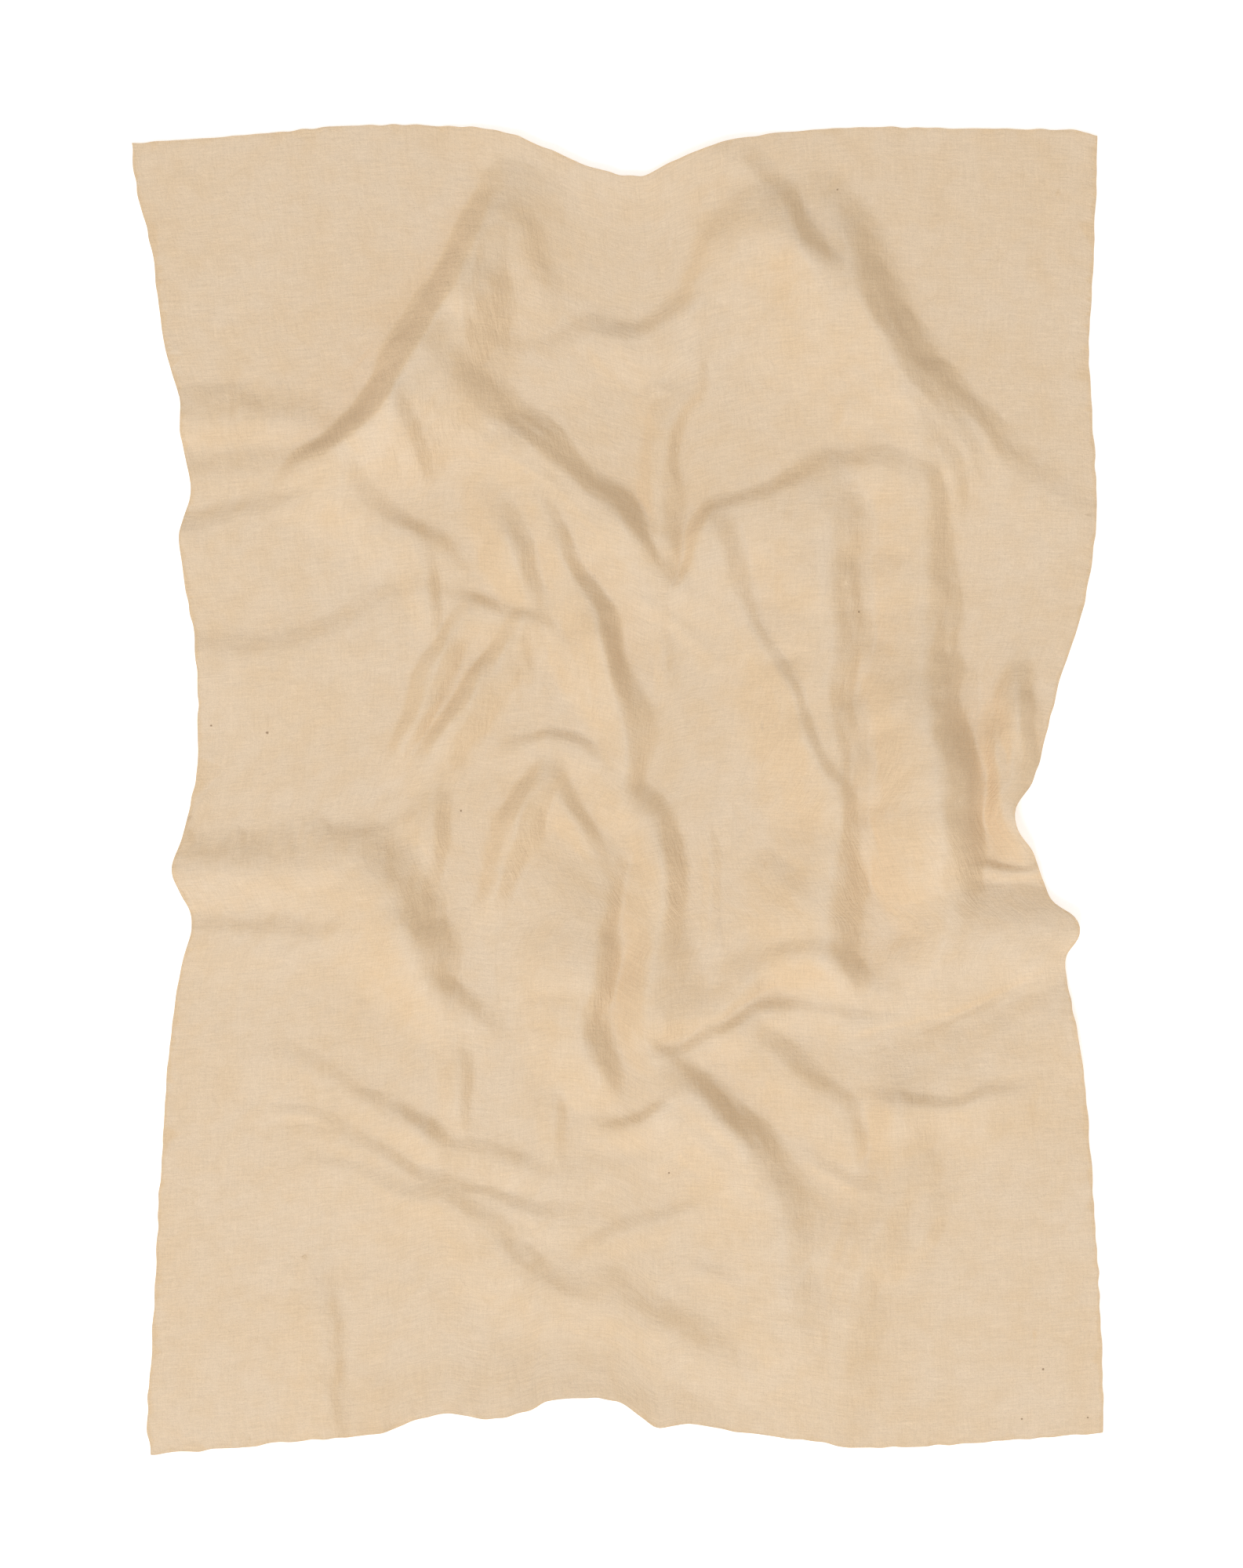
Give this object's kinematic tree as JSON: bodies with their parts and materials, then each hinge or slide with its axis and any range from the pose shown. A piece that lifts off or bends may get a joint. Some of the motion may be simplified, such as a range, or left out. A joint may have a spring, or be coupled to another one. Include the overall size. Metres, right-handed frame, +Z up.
{
  "type": "crumpled duvet cover",
  "caption": "Single duvet cover of plain sand-coloured linen, lying crumpled: long winding ridges, tucks and a deep pocket between flat corners.",
  "frame": {"origin": "on the surface the cover lies on, under the middle of its laid outline", "axes": "+Z up, away from the surface; +Y from the cover's foot end to its head end, the picture's top; +X to the picture's right"},
  "size_m": [1.3683, 1.8736, 0.0705],
  "materials": {
    "front_linen": "matte washed linen, warm sand, plain weave with slubs",
    "back_linen": "matte washed linen, warm sand, plain weave"
  },
  "bodies": {
    "root": {"front_panel": "front_linen", "back_panel": "back_linen"}
  },
  "joints": []
}
